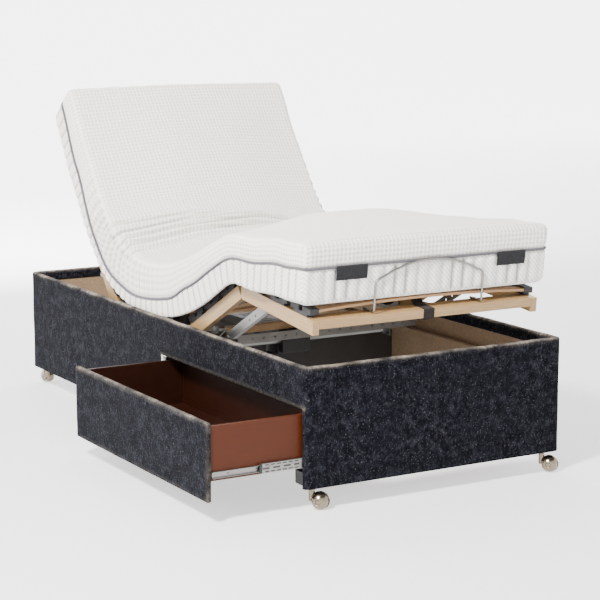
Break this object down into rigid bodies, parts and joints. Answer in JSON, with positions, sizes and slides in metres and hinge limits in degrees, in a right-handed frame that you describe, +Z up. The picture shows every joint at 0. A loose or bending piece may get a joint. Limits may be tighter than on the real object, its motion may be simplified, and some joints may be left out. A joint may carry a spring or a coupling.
{
  "type": "adjustable bed base",
  "caption": "Upholstered divan base with a side drawer and castors, holding a jointed slatted frame with raised back and knees and its mattress.",
  "frame": {"origin": "on the floor under the middle of the whole box at rest, with the drawer open, the back raised and the knees raised", "axes": "+Z up, +Y towards the head end, the drawer opens towards -X"},
  "size_m": [1.2021, 2.0253, 1.1115],
  "materials": {
    "velvet": "crushed charcoal velvet with short reflective pile and worn paler edges",
    "chipboard": "brown-faced chipboard",
    "pine": "planed pale softwood",
    "beech": "planed beech with a satin lacquer",
    "slat_beech": "laminated beech, satin foil face",
    "rubber": "moulded dark rubber",
    "webbing": "woven dark brown webbing",
    "drawer_melamine": "terracotta melamine-faced board",
    "zinc_steel": "zinc-plated pressed steel",
    "dark_nylon": "moulded dark nylon",
    "black_plastic": "fine-textured black plastic",
    "knit": "cream knitted mattress cover over foam",
    "castor_metal": "antique-tinted chrome"
  },
  "bodies": {
    "root": {"velvet_cover": "velvet", "drawer_side_panel": "chipboard", "far_side_panel": "chipboard", "foot_panel": "chipboard", "head_panel": "chipboard", "support_ledges": "pine", "divider_panel": "chipboard", "corner_blocks": "black_plastic", "runner_outers": "zinc_steel", "seat_rails": "beech", "seat_brackets": "zinc_steel", "seat_slats": "slat_beech", "seat_caps": "rubber", "fixed_hinge_leaves": "zinc_steel", "link_frame": "zinc_steel", "tube_brackets": "zinc_steel", "tube_bushes": "dark_nylon", "drive_housing": "black_plastic", "drive_end_covers": "black_plastic", "drive_motors": "black_plastic", "mattress_seat": "knit"},
    "back": {"back_rails": "beech", "back_slats": "slat_beech", "back_caps": "rubber", "back_hinge_leaves": "zinc_steel", "mattress_back": "knit"},
    "thigh": {"thigh_rails": "beech", "thigh_slats": "slat_beech", "thigh_caps": "rubber", "thigh_hinge_leaves": "zinc_steel", "mattress_thigh": "knit"},
    "calf": {"calf_rails": "beech", "calf_foot_rail": "beech", "calf_slats": "slat_beech", "calf_caps": "rubber", "calf_fittings": "zinc_steel", "centre_strap": "webbing", "retainer_bar": "zinc_steel", "mattress_calf": "knit"},
    "struts": {"calf_struts": "zinc_steel"},
    "leg_lift": {"leg_lift_tube": "zinc_steel", "leg_glides": "dark_nylon"},
    "back_lift": {"back_lift_tube": "zinc_steel", "back_glides": "dark_nylon"},
    "drawer": {"drawer_front": "chipboard", "drawer_front_cover": "velvet", "drawer_sides": "drawer_melamine", "drawer_back": "drawer_melamine", "drawer_bottom": "drawer_melamine", "runner_inners": "zinc_steel"},
    "runner_mid": {"runner_mids": "zinc_steel"},
    "castor_1": {"castor_hood_1": "castor_metal"},
    "ball_1": {"castor_wheel_1": "castor_metal"},
    "castor_2": {"castor_hood_2": "castor_metal"},
    "ball_2": {"castor_wheel_2": "castor_metal"},
    "castor_3": {"castor_hood_3": "castor_metal"},
    "ball_3": {"castor_wheel_3": "castor_metal"},
    "castor_4": {"castor_hood_4": "castor_metal"},
    "ball_4": {"castor_wheel_4": "castor_metal"}
  },
  "joints": [
    {"name": "back_tilt", "type": "hinge", "parent": "root", "child": "back", "pos_m": [0.15, 0.375, 0.387], "axis": [1, 0, 0], "range_deg": [-51, 15]},
    {"name": "thigh_tilt", "type": "hinge", "parent": "root", "child": "thigh", "pos_m": [0.15, -0.17, 0.387], "axis": [-1, 0, 0], "range_deg": [-28.5, 5.5]},
    {"name": "calf_fold", "type": "hinge", "parent": "thigh", "child": "calf", "pos_m": [0.15, -0.52075, 0.5433], "axis": [1, 0, 0], "range_deg": [-34.6, 6.76]},
    {"name": "strut_swing", "type": "hinge", "parent": "root", "child": "struts", "pos_m": [0.15, -0.37481, 0.39299], "axis": [-1, 0, 0], "range_deg": [-35.69, 6.97]},
    {"name": "leg_lift_turn", "type": "hinge", "parent": "root", "child": "leg_lift", "pos_m": [0.15, -0.15, 0.32], "axis": [-1, 0, 0], "range_deg": [-21.9, 4.31]},
    {"name": "back_lift_turn", "type": "hinge", "parent": "root", "child": "back_lift", "pos_m": [0.15, 0.345, 0.32], "axis": [1, 0, 0], "range_deg": [-37.59, 11.12]},
    {"name": "drawer_slide", "type": "slide", "parent": "root", "child": "drawer", "axis": [-1, 0, 0], "range_m": [-0.3, 0.03]},
    {"name": "runner_slide", "type": "slide", "parent": "root", "child": "runner_mid", "axis": [-1, 0, 0], "range_m": [-0.151, 0.016]},
    {"name": "castor_1_swivel", "type": "hinge", "parent": "root", "child": "castor_1", "pos_m": [-0.258, -0.965, 0.065], "axis": [0, 0, 1], "continuous": true},
    {"name": "castor_1_roll", "type": "hinge", "parent": "castor_1", "child": "ball_1", "pos_m": [-0.24193, -0.98415, 0.025], "axis": [0.766, 0.6428, 0], "continuous": true},
    {"name": "castor_2_swivel", "type": "hinge", "parent": "root", "child": "castor_2", "pos_m": [0.558, -0.965, 0.065], "axis": [0, 0, 1], "continuous": true},
    {"name": "castor_2_roll", "type": "hinge", "parent": "castor_2", "child": "ball_2", "pos_m": [0.57407, -0.98415, 0.025], "axis": [0.766, 0.6428, 0], "continuous": true},
    {"name": "castor_3_swivel", "type": "hinge", "parent": "root", "child": "castor_3", "pos_m": [-0.258, 0.965, 0.065], "axis": [0, 0, 1], "continuous": true},
    {"name": "castor_3_roll", "type": "hinge", "parent": "castor_3", "child": "ball_3", "pos_m": [-0.2455, 0.98665, 0.025], "axis": [-0.866, 0.5, 0], "continuous": true},
    {"name": "castor_4_swivel", "type": "hinge", "parent": "root", "child": "castor_4", "pos_m": [0.558, 0.965, 0.065], "axis": [0, 0, 1], "continuous": true},
    {"name": "castor_4_roll", "type": "hinge", "parent": "castor_4", "child": "ball_4", "pos_m": [0.5455, 0.98665, 0.025], "axis": [-0.866, -0.5, 0], "continuous": true}
  ],
  "couplings": [
    {"joint": "calf_fold", "follows": "thigh_tilt", "ratio": 1.2105},
    {"joint": "strut_swing", "follows": "thigh_tilt", "ratio": 1.2486},
    {"joint": "leg_lift_turn", "follows": "thigh_tilt", "ratio": 0.765},
    {"joint": "back_lift_turn", "follows": "back_tilt", "ratio": 0.735},
    {"joint": "runner_slide", "follows": "drawer_slide", "ratio": 0.5}
  ]
}
